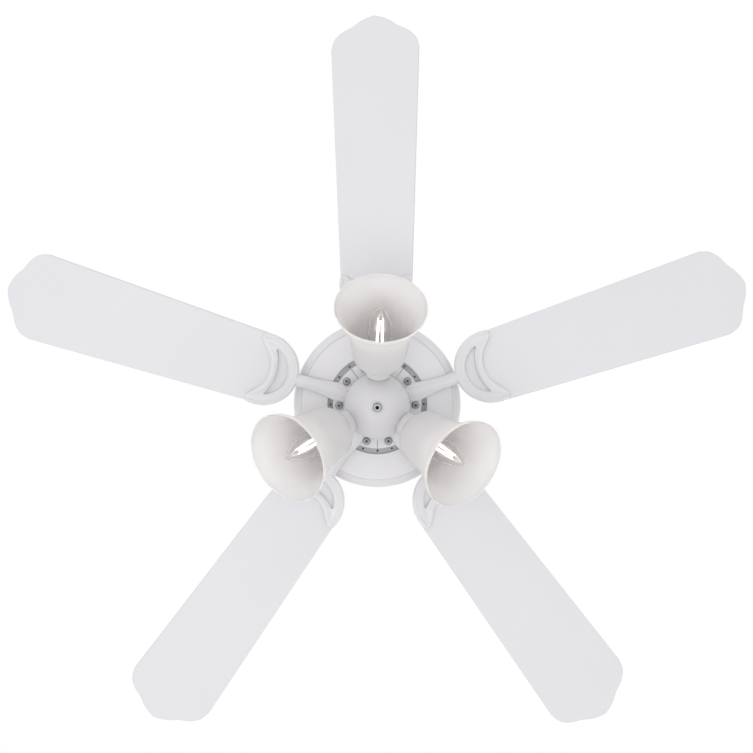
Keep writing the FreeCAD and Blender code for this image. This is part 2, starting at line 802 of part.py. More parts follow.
def make_iron_screws():
    screws = []
    for angle in iron_screw_angles():
        shank = post(iron_screw_radius, iron_bottom_z, ring_bottom_z, iron_screw_circle)
        low = iron_bottom_z - iron_head_height
        head = Part.makeCone(iron_screw_head - 1.2, iron_screw_head, iron_head_height,
                             Vector(iron_screw_circle, 0, low))
        half = 0.6
        cross = [block(iron_screw_circle - 3, iron_screw_circle + 3, -half, half,
                       low - 1, low + 1.6),
                 block(iron_screw_circle - half, iron_screw_circle + half, -3, 3,
                       low - 1, low + 1.6)]
        screws.append(turn_about_axis(joined([shank, head]).cut(cross), angle))
    return screws


# ---- the switch housing below the motor ----

def make_switch_plate():
    top = switch_top_z - switch_plate_inset
    inner = switch_housing_radius - switch_housing_sheet
    plate = post(inner, top - switch_plate_sheet, top)
    return plate.cut(post(shaft_radius, top - switch_plate_sheet - 1, top + 1))


def switch_level():
    return switch_top_z - switch_drop


def switch_slot(gap):
    """The space that the reversing switch's knob sweeps, seen from the fan's axis along +X."""
    half = switch_knob_width / 2 + gap
    low = switch_level() - switch_knob_height / 2 - gap
    high = switch_level() + switch_knob_height / 2 + switch_travel + gap
    inside = switch_housing_radius - switch_housing_sheet - 4
    return block(inside - gap, switch_housing_radius + 9, -half, half, low, high)


def hub_screw_pins(radius, start, end):
    z = (hub_top_z + switch_bottom_z) / 2
    pin = cross_pin(radius, start, end, z)
    return [turn_about_axis(pin, lamp_azimuth(index) + 60) for index in range(lamp_count)]


def make_switch_housing():
    radius = switch_housing_radius
    low = switch_bottom_z
    wire = outline((radius, switch_top_z), (radius, low + 2),
                   ((radius - 0.6, low + 0.6), (radius - 2, low)), (finial_stem_radius + 3, low))
    can = turned_skin(wire, -switch_housing_sheet)
    cuts = [turn_about_axis(switch_slot(running_gap), switch_azimuth)]
    cuts += hub_screw_pins(hub_screw_radius, radius - 6, radius + 1)
    return can.cut(cuts)


def make_capacitor():
    x, y, z = capacitor_size
    low = switch_bottom_z + switch_housing_sheet
    case = block(-x / 2, x / 2, -capacitor_offset - y / 2, -capacitor_offset + y / 2,
                 low, low + z)
    rounded = case.makeFillet(2.5, [edge for edge in case.Edges if edge.BoundBox.ZLength > z / 2])
    return turn_about_axis(rounded, lamp_azimuth(0) - 90)


def make_reverse_switch():
    x, y, z = switch_body_size
    outer = switch_housing_radius - switch_housing_sheet - 0.6
    middle = switch_level() + switch_travel / 2
    case = block(outer - x, outer, -y / 2, y / 2, middle - z / 2, middle + z / 2)
    return turn_about_axis(case.cut(switch_slot(running_gap)), switch_azimuth)


def make_reverse_switch_knob():
    inside = switch_housing_radius - switch_housing_sheet - 4
    outside = switch_housing_radius + switch_knob_reach
    half = switch_knob_width / 2
    z = switch_level()
    knob = block(inside, outside, -half, half,
                 z - switch_knob_height / 2, z + switch_knob_height / 2)
    return turn_about_axis(knob, switch_azimuth)


# ---- the light kit ----

def cup_envelope():
    """The steps of a lamp cup, solid and a little larger, for the hub's seats."""
    steps = ((hub_lobe_radius, -cup_length, cup_shoulder), (cup_middle_radius, cup_shoulder, cup_rim),
             (cup_radius, cup_rim, 4 * cup_length))
    return [post(radius + fit_gap, low, high) for radius, low, high in steps]


def make_light_hub():
    shoulder_z = hub_top_z - hub_overlap - hub_straight
    bend_r = hub_radius * 0.76
    bend_z = shoulder_z - 0.68 * (shoulder_z - hub_bottom_z)
    dome = turned(outline((0, hub_top_z), (hub_radius, hub_top_z), (hub_radius, shoulder_z),
                          ((bend_r, bend_z), (hub_tip_radius, hub_bottom_z)),
                          (0, hub_bottom_z), (0, hub_top_z)))
    ledge = switch_bottom_z
    wall = hub_sheet
    void = turned(outline((0, ledge), (hub_radius - wall - 2, ledge),
                          (hub_radius - wall, shoulder_z),
                          ((bend_r - wall, bend_z + wall), (0, hub_bottom_z + wall)), (0, ledge)))
    socket = post(switch_housing_radius, ledge, hub_top_z + 1)
    below_rim = post(4 * hub_radius, hub_bottom_z - 40, hub_top_z)
    hub = dome
    floors = []
    for index in range(lamp_count):
        lobe = post(hub_lobe_radius, -cup_length - hub_lobe_length, -cup_length)
        hub = hub.fuse(on_lamp(lobe, index).common(below_rim))
        floor = post(hub_lobe_radius + 2, -cup_length - hub_lobe_floor, -cup_length)
        floors.append(on_lamp(floor, index))
    hub = hub.cut([void.cut(floors), socket])
    cuts = [post(finial_stem_radius, hub_bottom_z - 1, hub_bottom_z + 3 * wall)]
    for index in range(lamp_count):
        wire_way = post(4.0, -cup_length - hub_lobe_length - 8, -cup_length + 1)
        cuts += [on_lamp(piece, index) for piece in cup_envelope() + [wire_way]]
    cuts += hub_screw_pins(hub_screw_radius, hub_radius - 5, hub_radius + 3)
    return hub.cut(cuts)


def make_light_hub_screws():
    heads = hub_screw_pins(2 * hub_screw_radius, hub_radius, hub_radius + 2.2)
    inner = switch_housing_radius - switch_housing_sheet - 1
    shanks = hub_screw_pins(hub_screw_radius, inner, hub_radius)
    return [joined([head, shank]) for head, shank in zip(heads, shanks)]


def make_finial():
    top = hub_bottom_z
    low = top - finial_height
    return turned_polygon([
        (0, top + 3 * hub_sheet), (finial_stem_radius, top + 3 * hub_sheet),
        (finial_stem_radius, top), (finial_radius - 0.5, top), (finial_radius, top - 1),
        (finial_radius - 0.5, low + 1), (finial_radius - 1.5, low),
        (finial_hole_radius, low), (finial_hole_radius, low + finial_hole_depth),
        (0, low + finial_hole_depth)])


def make_lamp_cup():
    back = -cup_length
    wire = outline((4.0, back), (hub_lobe_radius - 4, back),
                   ((hub_lobe_radius - 1.2, back + 1.2), (hub_lobe_radius, back + 4)),
                   (hub_lobe_radius, cup_shoulder), (cup_middle_radius, cup_shoulder + 1.5),
                   (cup_middle_radius, cup_rim), (cup_radius, cup_rim + 1.5), (cup_radius, 0))
    return turned_skin(wire, cup_sheet)


def make_lampholder():
    back = -cup_length + cup_sheet
    flange = hub_lobe_radius - cup_sheet - 4.5
    bore = bulb_base_radius
    return turned_polygon([
        (0, back), (flange, back), (flange, back + 13), (holder_radius, back + 16),
        (holder_radius, holder_front - 1), (holder_radius - 1, holder_front),
        (bore, holder_front), (bore, holder_floor), (0, holder_floor)])


def make_bulb_base():
    floor = holder_floor
    radius = bulb_base_radius
    return turned_polygon([
        (0, floor), (2.5, floor), (3.0, floor + 1), (radius - 1, floor + 3), (radius, floor + 5),
        (radius, bulb_base_end), (0, bulb_base_end)])


def make_bulb_glass():
    points = [(bulb_base_radius, 0, bulb_base_end), (bulb_base_radius + 3.4, 0, bulb_base_end + 7),
              (bulb_radius, 0, 56), (bulb_radius * 0.78, 0, 80), (bulb_radius * 0.3, 0, 99),
              (0, 0, bulb_tip)]
    return turned_wall(points, (0.1, 0, 1), (-1, 0, 0), bulb_wall)


def make_bulb_filaments():
    filaments = []
    for index in range(lamp_count):
        top = filament_start + filament_length
        disc = 1.2
        disc_radius = filament_circle + 2 * filament_radius
        pieces = [post(3.0, bulb_base_end, filament_start - disc / 2),
                  post(disc_radius, filament_start - disc, filament_start),
                  post(disc_radius, top, top + disc / 2)]
        for step in range(filament_count):
            angle = 45 + step * 360.0 / filament_count
            stick = post(filament_radius, filament_start - disc / 2, top + disc / 4,
                         filament_circle)
            pieces.append(turn_about_axis(stick, angle))
        filaments.append(on_lamp(joined(pieces), index))
    return filaments


def make_shade():
    neck = holder_radius + fit_gap
    points = [(shade_neck_radius, 0, 0), (31.0, 0, 7.5), (shade_waist_radius, 0, 19),
              (39.6, 0, 50), (45.6, 0, 75), (56.0, 0, 95), (shade_mouth_radius, 0, shade_length)]
    return turned_wall(points, (1, 0, 0), (0.25, 0, 1), shade_wall, neck)


def make_shade_ring():
    low = shade_wall
    high = low + ring_width
    ring = post(shade_neck_radius, low, high).cut(post(holder_radius, low - 1, high + 1))
    notch = post(1.6, low - 1, high + 1, shade_neck_radius + 0.6)
    return ring.cut([turn_about_axis(notch, step * 360.0 / ring_notches)
                     for step in range(ring_notches)])


os.makedirs(PARTS, exist_ok=True)

save("hanger_bracket", make_hanger_bracket())
save("canopy", make_canopy())
save("canopy_screws", make_canopy_screws())
save("remote_receiver", make_receiver())

save("hanger_ball", make_hanger_ball())
save("ball_pin", make_ball_pin())
save("downrod", make_downrod())
save("coupling", make_coupling())
save("coupling_pin", make_coupling_pin())
save("coupling_cotter", make_coupling_cotter())
save("coupling_cover", make_coupling_cover())
save("housing_screws", make_housing_screws())
save("housing_upper", make_housing_upper())
save("housing_lower", make_housing_lower())
save("motor_shaft", make_motor_shaft())
save("stator_core", make_stator_core())
save("stator_windings", make_stator_windings())

save("bearings", make_bearings())
save("rotor_top", make_rotor_top())
save("rotor_ring", make_rotor_ring())
save("rotor_bottom", make_rotor_bottom())
save("rotor_bolts", make_rotor_bolts())
iron_pattern = tap_iron(make_blade_iron_pattern())
blade_pattern = make_blade_pattern()
for number in range(blade_count):
    save(f"blade_iron_{number + 1}", place_iron(iron_pattern, number))
    save(f"blade_{number + 1}", on_blade(blade_pattern, number))
blade_screws, blade_washers = make_blade_fasteners()
save("blade_screws", blade_screws)
save("blade_washers", blade_washers)
save("iron_screws", make_iron_screws())

save("switch_plate", make_switch_plate())
save("switch_housing", make_switch_housing())
save("capacitor", make_capacitor())
save("reverse_switch", make_reverse_switch())
save("reverse_switch_knob", make_reverse_switch_knob())

save("light_hub", make_light_hub())
save("light_hub_screws", make_light_hub_screws())
save("finial", make_finial())
for number in range(lamp_count):
    save(f"lamp_cup_{number + 1}", on_lamp(make_lamp_cup(), number))
    save(f"lampholder_{number + 1}", on_lamp(make_lampholder(), number))
    save(f"bulb_base_{number + 1}", on_lamp(make_bulb_base(), number))
    save(f"bulb_glass_{number + 1}", on_lamp(make_bulb_glass(), number))
    save(f"glass_shade_{number + 1}", on_lamp(make_shade(), number))
save("bulb_filaments", make_bulb_filaments())
save("shade_rings", [on_lamp(make_shade_ring(), number) for number in range(lamp_count)])
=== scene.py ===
import bmesh
import bpy
import math
from mathutils import Matrix, Vector


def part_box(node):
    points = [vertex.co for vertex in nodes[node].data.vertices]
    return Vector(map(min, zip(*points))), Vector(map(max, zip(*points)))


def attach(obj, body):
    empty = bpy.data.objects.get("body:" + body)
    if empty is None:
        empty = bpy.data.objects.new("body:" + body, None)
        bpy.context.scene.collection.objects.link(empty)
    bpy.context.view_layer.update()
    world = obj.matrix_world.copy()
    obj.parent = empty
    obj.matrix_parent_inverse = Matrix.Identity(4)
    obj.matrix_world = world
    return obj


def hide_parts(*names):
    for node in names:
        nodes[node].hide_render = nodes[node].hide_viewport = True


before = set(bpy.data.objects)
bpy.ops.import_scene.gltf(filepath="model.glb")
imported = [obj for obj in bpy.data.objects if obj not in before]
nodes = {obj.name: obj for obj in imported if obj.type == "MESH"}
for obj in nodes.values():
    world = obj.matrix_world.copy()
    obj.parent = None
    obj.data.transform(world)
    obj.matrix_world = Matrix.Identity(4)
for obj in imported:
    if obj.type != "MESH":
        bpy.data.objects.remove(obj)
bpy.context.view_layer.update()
mm = 0.001

# ---------------------------------------------------------------------------------------
# The room. The fan is looked at from below, almost straight up, so a pale floor lies behind
# the viewer and the walls and ceiling are one even white. A broad soft light low under the
# fan and two weaker ones to its sides give the castings their roundness.
# ---------------------------------------------------------------------------------------

blade_low, blade_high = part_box("blade_1")
blade_plane = (blade_low.z + blade_high.z) / 2
eye_below_blades = 1.900
eye_forward = 0.0875
aim_forward = 0.0386
aim_aside = 0.0008
camera_roll = math.radians(0.35)
lens_mm = 65.85
floor_below_blades = 2.15
floor_level = blade_plane - floor_below_blades
floor_reach = 9.0

room = bpy.context.scene
room.view_settings.view_transform = "Standard"
world = bpy.data.worlds.new("white_room")
world.use_nodes = True
world.node_tree.nodes["Background"].inputs["Color"].default_value = (1.0, 1.0, 1.0, 1.0)
world.node_tree.nodes["Background"].inputs["Strength"].default_value = 1.0
room.world = world

eye = Vector((0.0, eye_forward, blade_plane - eye_below_blades))
aim = Vector((aim_aside, aim_forward, blade_plane))
camera_data = bpy.data.cameras.new("viewer")
camera_data.lens = lens_mm
camera_data.sensor_width = 36.0
camera = bpy.data.objects.new("viewer", camera_data)
room.collection.objects.link(camera)
forward = (aim - eye).normalized()
level = forward.cross(Vector((0.0, 1.0, 0.0))).normalized()
right = Matrix.Rotation(camera_roll, 3, forward) @ level
above = right.cross(forward)
facing = Matrix((right, above, -forward)).transposed().to_4x4()
camera.matrix_world = Matrix.Translation(eye) @ facing
room.camera = camera


def add(tree, kind, values=None, **settings):
    """Adds a shader node, sets its properties and the starting values of its sockets."""
    node = tree.nodes.new(kind)
    for key, value in settings.items():
        setattr(node, key, value)
    for key, value in (values or {}).items():
        node.inputs[key].default_value = value
    return node


def new_material(name, colour, roughness, metallic=0.0):
    """A material with one Principled shader, returned with its tree and that shader."""
    material = bpy.data.materials.new(name)
    material.use_nodes = True
    tree = material.node_tree
    shader = tree.nodes["Principled BSDF"]
    shader.inputs["Base Color"].default_value = (*colour, 1.0)
    shader.inputs["Roughness"].default_value = roughness
    shader.inputs["Metallic"].default_value = metallic
    return material, tree, shader


floor_material, tree, shader = new_material("pale_floor", (0.93, 0.93, 0.93), 0.9)
grit = add(tree, "ShaderNodeTexNoise", {"Scale": 6.0, "Detail": 3.0})
tint = add(tree, "ShaderNodeValToRGB")
tint.color_ramp.elements[0].color = (0.91, 0.91, 0.91, 1.0)
tint.color_ramp.elements[1].color = (0.94, 0.94, 0.94, 1.0)
seen_from_below = add(tree, "ShaderNodeNewGeometry")
clear = add(tree, "ShaderNodeBsdfTransparent")
either = add(tree, "ShaderNodeMixShader")
tree.links.new(grit.outputs["Fac"], tint.inputs["Fac"])
tree.links.new(tint.outputs["Color"], shader.inputs["Base Color"])
tree.links.new(seen_from_below.outputs["Backfacing"], either.inputs["Fac"])
tree.links.new(shader.outputs["BSDF"], either.inputs[1])
tree.links.new(clear.outputs["BSDF"], either.inputs[2])
tree.links.new(either.outputs["Shader"], tree.nodes["Material Output"].inputs["Surface"])
floor_mesh = bpy.data.meshes.new("floor")
floor_corners = [(side_x * floor_reach, side_y * floor_reach, floor_level)
                 for side_x, side_y in ((-1, -1), (1, -1), (1, 1), (-1, 1))]
floor_mesh.from_pydata(floor_corners, [], [(0, 1, 2, 3)])
floor_mesh.materials.append(floor_material)
floor = bpy.data.objects.new("floor", floor_mesh)
room.collection.objects.link(floor)

for name, place, watts, width in (("floor_light", (0.15, -0.35, -2.3), 11.5, 1.6),
                                  ("side_light", (1.6, 1.8, -1.9), 4.0, 1.2),
                                  ("top_light", (-1.6, -1.2, 1.4), 4.0, 1.5)):
    lamp = bpy.data.lights.new(name, "AREA")
    lamp.energy = watts
    lamp.size = width
    light = bpy.data.objects.new(name, lamp)
    light.location = place
    light.rotation_mode = "QUATERNION"
    light.rotation_quaternion = (aim - light.location).to_track_quat("-Z", "Y")
    room.collection.objects.link(light)

# ---------------------------------------------------------------------------------------
# Ceiling bracket: a zinc-plated steel strap with its hanging seat, two slotted ears for the
# ceiling screws, and the radio receiver that lies on it inside the canopy.
# ---------------------------------------------------------------------------------------


def surface_group():
    """Fine grain, slow drift of tone and the relief they make, from the place on the object."""
    group = bpy.data.node_groups.new("fine_surface", "ShaderNodeTree")
    for name, start in (("Grain Size", 900.0), ("Drift Size", 14.0), ("Unevenness", 0.5)):
        socket = group.interface.new_socket(name, in_out="INPUT", socket_type="NodeSocketFloat")
        socket.default_value = start
    for name in ("Grain", "Drift", "Height"):
        group.interface.new_socket(name, in_out="OUTPUT", socket_type="NodeSocketFloat")
    given = add(group, "NodeGroupInput")
    result = add(group, "NodeGroupOutput")
    where = add(group, "ShaderNodeTexCoord")
    grain = add(group, "ShaderNodeTexNoise", {"Detail": 2.0, "Roughness": 0.55})
    drift = add(group, "ShaderNodeTexNoise", {"Detail": 3.0, "Roughness": 0.5})
    part = add(group, "ShaderNodeMath", operation="MULTIPLY")
    whole = add(group, "ShaderNodeMath", operation="ADD")
    links = group.links
    links.new(where.outputs["Object"], grain.inputs["Vector"])
    links.new(where.outputs["Object"], drift.inputs["Vector"])
    links.new(given.outputs["Grain Size"], grain.inputs["Scale"])
    links.new(given.outputs["Drift Size"], drift.inputs["Scale"])
    links.new(drift.outputs["Fac"], part.inputs[0])
    links.new(given.outputs["Unevenness"], part.inputs[1])
    links.new(part.outputs["Value"], whole.inputs[0])
    links.new(grain.outputs["Fac"], whole.inputs[1])
    links.new(grain.outputs["Fac"], result.inputs["Grain"])
    links.new(drift.outputs["Fac"], result.inputs["Drift"])
    links.new(whole.outputs["Value"], result.inputs["Height"])
    return group


fine_surface = surface_group()


def blend_colours(tree, factor, dark, light):
    """A soft run from one colour to another, driven by a 0 to 1 mask."""
    mix = add(tree, "ShaderNodeMix", data_type="RGBA")
    mix.inputs["A"].default_value = (*dark, 1.0)
    mix.inputs["B"].default_value = (*light, 1.0)
    tree.links.new(factor, mix.inputs["Factor"])
    return mix.outputs["Result"]


def between(tree, factor, low, high):
    """Takes a 0 to 1 mask to a value between low and high."""
    span = add(tree, "ShaderNodeMapRange", {"To Min": low, "To Max": high})
    tree.links.new(factor, span.inputs["Value"])
    return span.outputs["Result"]


def raise_surface(tree, shader, height, strength, distance):
    """Gives the shader a relief of a strength and a depth."""
    bump = add(tree, "ShaderNodeBump", {"Strength": strength, "Distance": distance})
    tree.links.new(height, bump.inputs["Height"])
    tree.links.new(bump.outputs["Normal"], shader.inputs["Normal"])


def coated(name, dark, light, roughness, grain_size, relief, metallic=0.0):
    """A finish with the fine surface: its tone, its roughness and its relief all vary."""
    material, tree, shader = new_material(name, light, roughness, metallic)
    surface = add(tree, "ShaderNodeGroup", node_tree=fine_surface)
    surface.inputs["Grain Size"].default_value = grain_size
    tone = blend_colours(tree, surface.outputs["Drift"], dark, light)
    tree.links.new(tone, shader.inputs["Base Color"])
    rough = between(tree, surface.outputs["Grain"], roughness - 0.05, roughness + 0.05)
    tree.links.new(rough, shader.inputs["Roughness"])
    raise_surface(tree, shader, surface.outputs["Height"], relief, 0.2 * mm)
    return material


def dress(node, material):
    """Gives a carried-over CAD piece its finish."""
    shown = nodes[node].data
    shown.materials.clear()
    shown.materials.append(material)
    for polygon in shown.polygons:
        polygon.material_index = 0


zinc = coated("zinc_plate", (0.30, 0.30, 0.31), (0.44, 0.44, 0.45), roughness=0.32,
              grain_size=1400.0, relief=0.10, metallic=1.0)
white_plastic = coated("white_plastic", (0.70, 0.70, 0.68), (0.76, 0.76, 0.74),
                       roughness=0.48, grain_size=1600.0, relief=0.2)
dress("hanger_bracket", zinc)
dress("remote_receiver", white_plastic)

# ---------------------------------------------------------------------------------------
# Canopy: a spun steel bowl, powder coated white, its rim just clear of the ceiling and its
# hole round the downrod, held to the bracket's ears by two screws.
# ---------------------------------------------------------------------------------------


slight_turn = 0.35
side_share = 0.48
wall_share = 0.45


def rounded(points, radius, steps=4, closed=True):
    """A profile with each sharp corner made round, no rounder than its sides allow."""
    out = []
    count = len(points)
    for index in range(count):
        here = Vector(points[index])
        if not closed and index in (0, count - 1):
            out.append(here)
            continue
        before = Vector(points[index - 1]) - here
        after = Vector(points[(index + 1) % count]) - here
        turn = math.pi - before.angle(after)
        if turn < slight_turn:
            out.append(here)
            continue
        cut = min(radius * math.tan(turn / 2), side_share * before.length,
                  side_share * after.length)
        start = here + before.normalized() * cut
        end = here + after.normalized() * cut
        for step in range(steps + 1):
            t = step / steps
            out.append(start * (1 - t) ** 2 + here * 2 * t * (1 - t) + end * t ** 2)
    return out


def arc(centre, radius, start, end, steps=16):
    """Points on part of a circle, from one angle to another, in degrees."""
    out = []
    for step in range(steps + 1):
        angle = math.radians(start + (end - start) * step / steps)
        out.append((centre[0] + radius * math.cos(angle), centre[1] + radius * math.sin(angle)))
    return out


def three_point_arc(first, through, last, steps=20):
    """Points on the circle that passes through three points, from the first to the last."""
    a, b, c = Vector(first), Vector(through), Vector(last)
    ab, ac = b - a, c - a
    twice = 2 * ab.cross(ac)
    offset = Vector((ac.y * ab.length_squared - ab.y * ac.length_squared,
                     ab.x * ac.length_squared - ac.x * ab.length_squared)) / twice
    centre = a + offset
    start = math.atan2(a.y - centre.y, a.x - centre.x)
    sweep = math.atan2(c.y - centre.y, c.x - centre.x) - start
    if twice > 0 and sweep < 0:
        sweep += 2 * math.pi
    if twice < 0 and sweep > 0:
        sweep -= 2 * math.pi
    return arc(centre, offset.length, math.degrees(start), math.degrees(start + sweep), steps)


def thick(path, wall):
    """Closes an open path into the profile of a wall, with the wall on the path's left."""
    inside = []
    for index, point in enumerate(path):
        before = Vector(path[max(index - 1, 0)])
        after = Vector(path[min(index + 1, len(path) - 1)])
        way = (after - before).normalized()
        inside.append((point[0] - way.y * wall, point[1] + way.x * wall))
    return rounded(list(path) + inside[::-1], wall_share * wall)


def lathe_shape(profile, segments=128):
    """Turns a closed profile of (radius, height) points about Z into one solid."""
    shape = bmesh.new()
    rings = []
    for radius, height in profile:
        if radius < 1e-6:
            rings.append([shape.verts.new((0.0, 0.0, height))])
            continue
        ring = []
        for step in range(segments):
            angle = 2 * math.pi * step / segments
            ring.append(shape.verts.new((radius * math.cos(angle), radius * math.sin(angle),
                                         height)))
        rings.append(ring)
    for index, low in enumerate(rings):
        high = rings[(index + 1) % len(rings)]
        for step in range(segments):
            after = (step + 1) % segments
            if len(low) == 1 and len(high) == 1:
                break
            if len(low) == 1:
                shape.faces.new((low[0], high[step], high[after]))
            elif len(high) == 1:
                shape.faces.new((low[step], high[0], low[after]))
            else:
                shape.faces.new((low[step], high[step], high[after], low[after]))
    bmesh.ops.recalc_face_normals(shape, faces=shape.faces)
    return shape


def finished(name, shape, material, body, replaced, sharp_angle=40.0):
    """Makes a piece of a bmesh, smooth but for its real edges, and ties it to the frame."""
    mesh = bpy.data.meshes.new(name)
    shape.to_mesh(mesh)
    shape.free()
    for polygon in mesh.polygons:
        polygon.use_smooth = True
    mesh.set_sharp_from_angle(angle=math.radians(sharp_angle))
    mesh.materials.append(material)
    piece = bpy.data.objects.new(name, mesh)
    room.collection.objects.link(piece)
    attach(piece, body)
    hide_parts(replaced)
    return piece


enamel = coated("white_enamel", (0.65, 0.64, 0.655), (0.69, 0.68, 0.695), roughness=0.36,
                grain_size=850.0, relief=0.10)
enamel.node_tree.nodes["Principled BSDF"].inputs["Coat Weight"].default_value = 0.12

canopy_low, canopy_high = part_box("canopy")
canopy_radius = canopy_high.x
canopy_bend = 38 * mm
canopy_hole = 22.5 * mm
sheet = 1.2 * mm
path = [(canopy_hole, canopy_low.z)]
path += arc((canopy_radius - canopy_bend, canopy_low.z + canopy_bend), canopy_bend, -90, 0,
            steps=24)
path += [(canopy_radius, canopy_high.z)]
finished("canopy_shell", lathe_shape(thick(path, sheet)), enamel, "ceiling_mount",
         "canopy")
dress("canopy_screws", enamel)

# ---------------------------------------------------------------------------------------
# Hanger ball and downrod: a black moulded ball seated in the bracket, a zinc pin through it,
# and a white steel tube pinned to the coupling below, with the white bell that covers it.
# ---------------------------------------------------------------------------------------

black_plastic = coated("black_plastic", (0.025, 0.025, 0.028), (0.05, 0.05, 0.055),
                       roughness=0.45, grain_size=1600.0, relief=0.25)
dress("hanger_ball", black_plastic)
dress("downrod", enamel)
for node in ("ball_pin", "coupling", "coupling_pin", "coupling_cotter", "housing_screws"):
    dress(node, zinc)

cover_low, cover_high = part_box("coupling_cover")
cover_radius = cover_high.x
cover_neck = 21 * mm
cover_rim = 3 * mm
cover_corner = 1.5 * mm
rod_hole = 14.35 * mm
cover_waist = (cover_neck + 7 * mm, cover_high.z - 22 * mm)
path = [(cover_radius, cover_low.z), (cover_radius, cover_low.z + cover_rim)]
path += three_point_arc((cover_radius, cover_low.z + cover_rim), cover_waist,
                        (cover_neck, cover_high.z))[1:]
path += [(rod_hole, cover_high.z)]
cover_profile = thick(rounded(path, cover_corner, closed=False), sheet)
finished("coupling_cover_bell", lathe_shape(cover_profile), enamel, "hanging_fan",
         "coupling_cover")

# ---------------------------------------------------------------------------------------
# Motor housing: a deep drawn steel shell with a rolled lower edge, and a shallow pan that
# closes it from below, open in the middle where the turning rotor face shows.
# ---------------------------------------------------------------------------------------

shell_low, shell_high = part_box("housing_upper")
pan_low, pan_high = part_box("housing_lower")
shell_radius = shell_high.x
shaft_hole = 8.5 * mm
roll = 11 * mm
top_flat = 60 * mm
shoulder_drop = 36 * mm
shell_corner = 6 * mm
bulge = (shell_radius - 16 * mm, shell_high.z - 10 * mm)
lip = shell_radius - roll
path = arc((lip, shell_low.z + roll), roll, -90, 0, steps=14)
path += three_point_arc((shell_radius, shell_high.z - shoulder_drop), bulge,
                        (top_flat, shell_high.z))
path += [(shaft_hole, shell_high.z)]
shell_profile = thick(rounded(path, shell_corner, closed=False), sheet)
finished("housing_shell", lathe_shape(shell_profile, segments=192), enamel, "hanging_fan",
         "housing_upper")

pan_opening = 68.5 * mm
pan_side = lip - 0.1 * mm
pan_lip = 2.5 * mm
pan_fold = 2 * mm
path = [(pan_opening, pan_low.z + pan_lip), (pan_opening, pan_low.z),
        (pan_side, pan_low.z), (pan_side, pan_high.z)]
pan_profile = thick(rounded(path, pan_fold, closed=False), sheet)
finished("housing_pan", lathe_shape(pan_profile, segments=192), enamel, "hanging_fan",
         "housing_lower")

# ---------------------------------------------------------------------------------------
# Motor: a turned steel shaft, ball bearings, two faced aluminium bells bolted round a steel
# band, and between them a stack of thin laminations wound with varnished copper wire.
# ---------------------------------------------------------------------------------------


def turned_metal(name, dark, light, roughness, pitch):
    """Metal faced on a lathe: fine rings about the fan's axis over a faint mottle."""
    material, tree, shader = new_material(name, light, roughness, 1.0)
    surface = add(tree, "ShaderNodeGroup", node_tree=fine_surface)
    surface.inputs["Grain Size"].default_value = 400.0
    where = add(tree, "ShaderNodeTexCoord")
    flat = add(tree, "ShaderNodeVectorMath", {1: (1.0, 1.0, 0.0)}, operation="MULTIPLY")
    radius = add(tree, "ShaderNodeVectorMath", operation="LENGTH")
    turns = add(tree, "ShaderNodeMath", {1: 2 * math.pi / pitch}, operation="MULTIPLY")
    ring = add(tree, "ShaderNodeMath", operation="SINE")
    tree.links.new(where.outputs["Object"], flat.inputs[0])
    tree.links.new(flat.outputs["Vector"], radius.inputs[0])
    tree.links.new(radius.outputs["Value"], turns.inputs[0])
    tree.links.new(turns.outputs["Value"], ring.inputs[0])
    tone = blend_colours(tree, surface.outputs["Drift"], dark, light)
    tree.links.new(tone, shader.inputs["Base Color"])
    rough = between(tree, surface.outputs["Grain"], roughness - 0.08, roughness + 0.08)
    tree.links.new(rough, shader.inputs["Roughness"])
    raise_surface(tree, shader, ring.outputs["Value"], 0.15, 0.1 * mm)
    return material


bands_per_unit = 3.2


def layered(name, dark, light, roughness, pitch, kind, direction):
    """Bands that repeat at a pitch: sheets stacked along Z, or wire wound round the axis."""
    material, tree, shader = new_material(name, light, roughness, 1.0)
    where = add(tree, "ShaderNodeTexCoord")
    scale = 1.0 / pitch / bands_per_unit
    bands = add(tree, "ShaderNodeTexWave", {"Scale": scale, "Distortion": 0.4},
                wave_type=kind, **direction)
    tree.links.new(where.outputs["Object"], bands.inputs["Vector"])
    tone = blend_colours(tree, bands.outputs["Fac"], dark, light)
    tree.links.new(tone, shader.inputs["Base Color"])
    raise_surface(tree, shader, bands.outputs["Fac"], 0.5, 0.3 * mm)
    return material


bare_steel = turned_metal("bare_steel", (0.26, 0.26, 0.28), (0.36, 0.36, 0.38),
                          roughness=0.32, pitch=0.5 * mm)
cast_bell = turned_metal("cast_aluminium", (0.24, 0.24, 0.25), (0.33, 0.33, 0.35),
                         roughness=0.45, pitch=0.7 * mm)
laminations = layered("laminations", (0.12, 0.12, 0.13), (0.34, 0.35, 0.37), roughness=0.45,
                      pitch=0.5 * mm, kind="BANDS", direction={"bands_direction": "Z"})
copper = layered("copper_wire", (0.28, 0.10, 0.04), (0.72, 0.34, 0.17), roughness=0.30,
                 pitch=0.8 * mm, kind="RINGS", direction={"rings_direction": "Z"})
# Painted shade: a near-black finish for the insides of holes and recesses, where shadow falls.
painted_hollow_shade = coated("painted_hollow_shade", (0.03, 0.03, 0.035), (0.06, 0.06, 0.065), roughness=0.6,
                     grain_size=900.0, relief=0.10)


def paint_hollow_shade(piece, inside):
    """Paints shade on the faces inside a hole or a recess: a dark finish that stands in for the
    shadow there.
    """
    piece.data.materials.append(painted_hollow_shade)
    for polygon in piece.data.polygons:
        polygon.material_index = int(inside(polygon.center))


balance_circle = 64.5 * mm
balance_radius = 1.5 * mm
balance_count = 20
balance_reach = 1.1 * balance_radius
balance_from = 0.3 * mm
balance_to = 4.2 * mm
bell_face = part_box("rotor_bottom")[0].z


def in_balance_hole(point):
    """On the wall or the floor of one of the drilled balancing holes."""
    step = 2 * math.pi / balance_count
    nearest = round(math.atan2(point.y, point.x) / step) * step
    axis = Vector((math.cos(nearest), math.sin(nearest))) * balance_circle
    depth = point.z - bell_face
    return (point.xy - axis).length < balance_reach and balance_from < depth < balance_to


